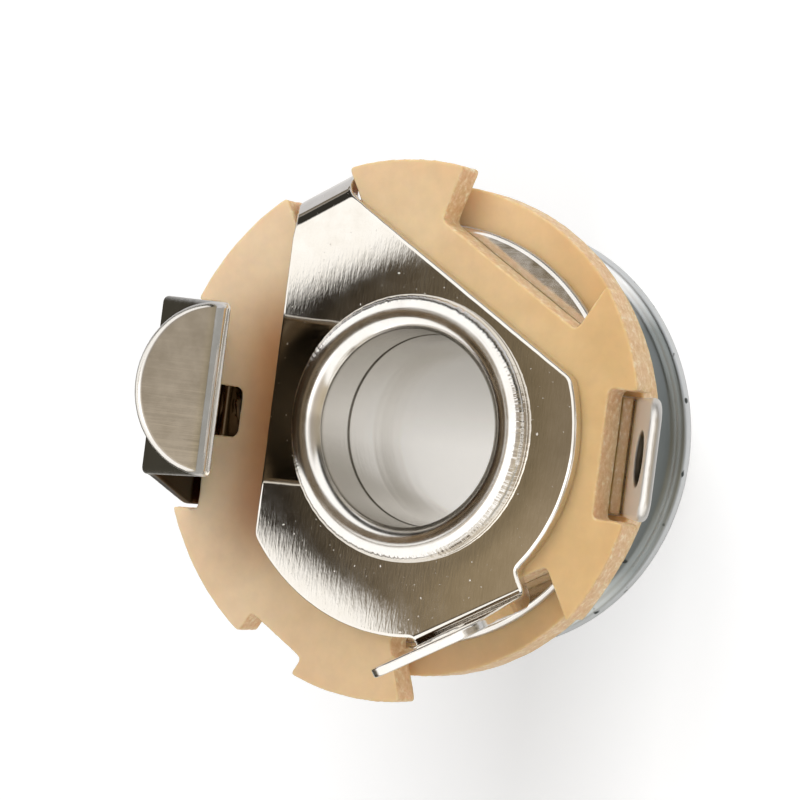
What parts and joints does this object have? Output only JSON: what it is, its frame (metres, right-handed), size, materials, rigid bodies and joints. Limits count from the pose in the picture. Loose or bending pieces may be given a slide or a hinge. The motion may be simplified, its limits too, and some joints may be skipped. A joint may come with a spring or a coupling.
{
  "type": "phone jack",
  "caption": "Open quarter inch mono phone jack for a panel: threaded bushing with a dished cup, phenolic wafers, a tip spring and solder lugs.",
  "frame": {"origin": "on the axis of the plug's bore, at the mouth of the threaded barrel, which is the lowest face", "axes": "+Z along the bore, from the barrel's mouth to the solder lugs; +X towards the tip's solder lug; the tip spring stands at -X"},
  "size_m": [0.02, 0.019, 0.0247],
  "materials": {
    "nickel_plate": "polished nickel plate",
    "spring_strip": "bright plated spring strip",
    "phenolic_board": "matt tan phenolic board",
    "zinc_plate": "blue-grey zinc plate"
  },
  "bodies": {
    "stack": {"bushing": "nickel_plate", "front_cup": "zinc_plate", "front_insulator": "phenolic_board", "spacer_ring": "phenolic_board", "tip_contact": "spring_strip", "rear_insulator": "phenolic_board", "ground_plate": "nickel_plate"},
    "spring": {"tip_spring": "spring_strip"},
    "washer": {"washer": "zinc_plate"},
    "nut": {"nut": "nickel_plate"}
  },
  "joints": [
    {"name": "spring_flex", "type": "hinge", "parent": "stack", "child": "spring", "pos_m": [-0.0084, 0, 0.0116], "axis": [0, -1, 0], "range_deg": [0, 8], "stiffness_Nm_per_rad": 0.3},
    {"name": "washer_slide", "type": "slide", "parent": "stack", "child": "washer", "axis": [0, 0, -1], "range_m": [0, 0.00374]},
    {"name": "nut_turn", "type": "hinge", "parent": "washer", "child": "nut", "pos_m": [0, 0, 0.0048], "axis": [0, 0, -1], "range_deg": [0, 1800]}
  ],
  "couplings": [
    {"joint": "nut_turn", "follows": "washer_slide", "rad_per_m": 8377.6}
  ]
}
